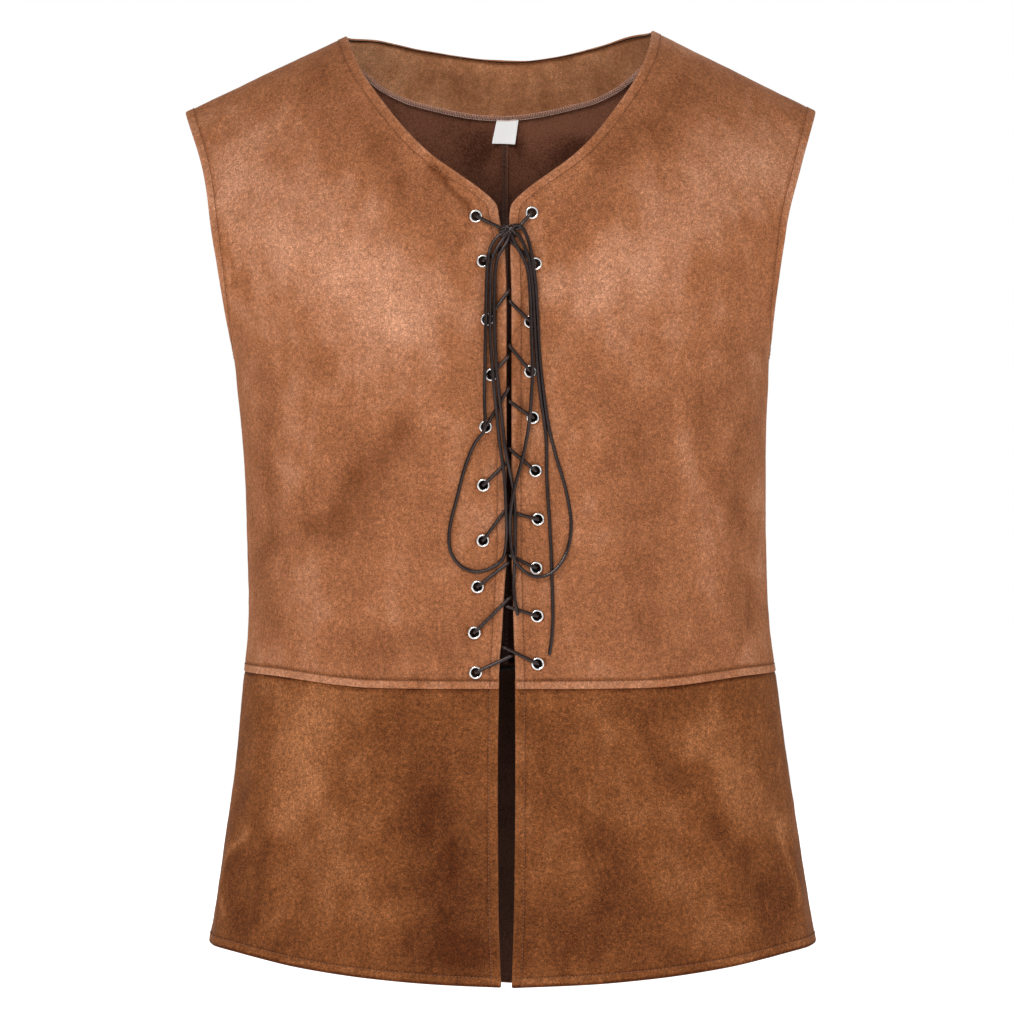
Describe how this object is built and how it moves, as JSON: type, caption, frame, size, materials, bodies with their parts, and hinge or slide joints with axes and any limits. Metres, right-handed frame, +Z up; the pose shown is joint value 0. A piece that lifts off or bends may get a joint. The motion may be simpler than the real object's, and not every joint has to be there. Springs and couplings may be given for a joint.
{
  "type": "pirate vest",
  "caption": "Sleeveless brown suede-look costume vest with a V neck, flared skirt, waist seam and a front lacing tied in a bow, held in its worn, hollow form.",
  "frame": {"origin": "midway between the two shoulder points beside the neck, where the wearer's shoulders hold the vest", "axes": "+Z up, the front faces -Y, the wearer's left is +X"},
  "size_m": [0.4718, 0.241, 0.7267],
  "materials": {
    "suede": "brushed suede-look cloth, soft nap, matt",
    "facing_suede": "the same suede-look cloth, nap laid across",
    "overlock": "overlocked thread over cut cloth",
    "label": "bare white woven tape",
    "eyelet_metal": "bright nickel plate",
    "lace_cord": "dark brown round waxed cord, slight sheen"
  },
  "bodies": {
    "root": {"bodice_front_right": "suede", "bodice_front_left": "suede", "bodice_back_right": "suede", "bodice_back_left": "suede", "skirt_front_right": "suede", "skirt_front_left": "suede", "skirt_back": "suede", "back_neck_facing": "facing_suede", "centre_back_allowance": "overlock", "neck_label": "label", "eyelet_right_01": "eyelet_metal", "eyelet_right_02": "eyelet_metal", "eyelet_right_03": "eyelet_metal", "eyelet_right_04": "eyelet_metal", "eyelet_right_05": "eyelet_metal", "eyelet_right_06": "eyelet_metal", "eyelet_right_07": "eyelet_metal", "eyelet_right_08": "eyelet_metal", "eyelet_right_09": "eyelet_metal", "eyelet_right_10": "eyelet_metal", "eyelet_left_01": "eyelet_metal", "eyelet_left_02": "eyelet_metal", "eyelet_left_03": "eyelet_metal", "eyelet_left_04": "eyelet_metal", "eyelet_left_05": "eyelet_metal", "eyelet_left_06": "eyelet_metal", "eyelet_left_07": "eyelet_metal", "eyelet_left_08": "eyelet_metal", "eyelet_left_09": "eyelet_metal", "eyelet_left_10": "eyelet_metal", "lacing": "lace_cord", "lace_knot": "lace_cord", "lace_loop_right": "lace_cord", "lace_loop_left": "lace_cord", "lace_end_right": "lace_cord", "lace_end_left": "lace_cord"}
  },
  "joints": []
}
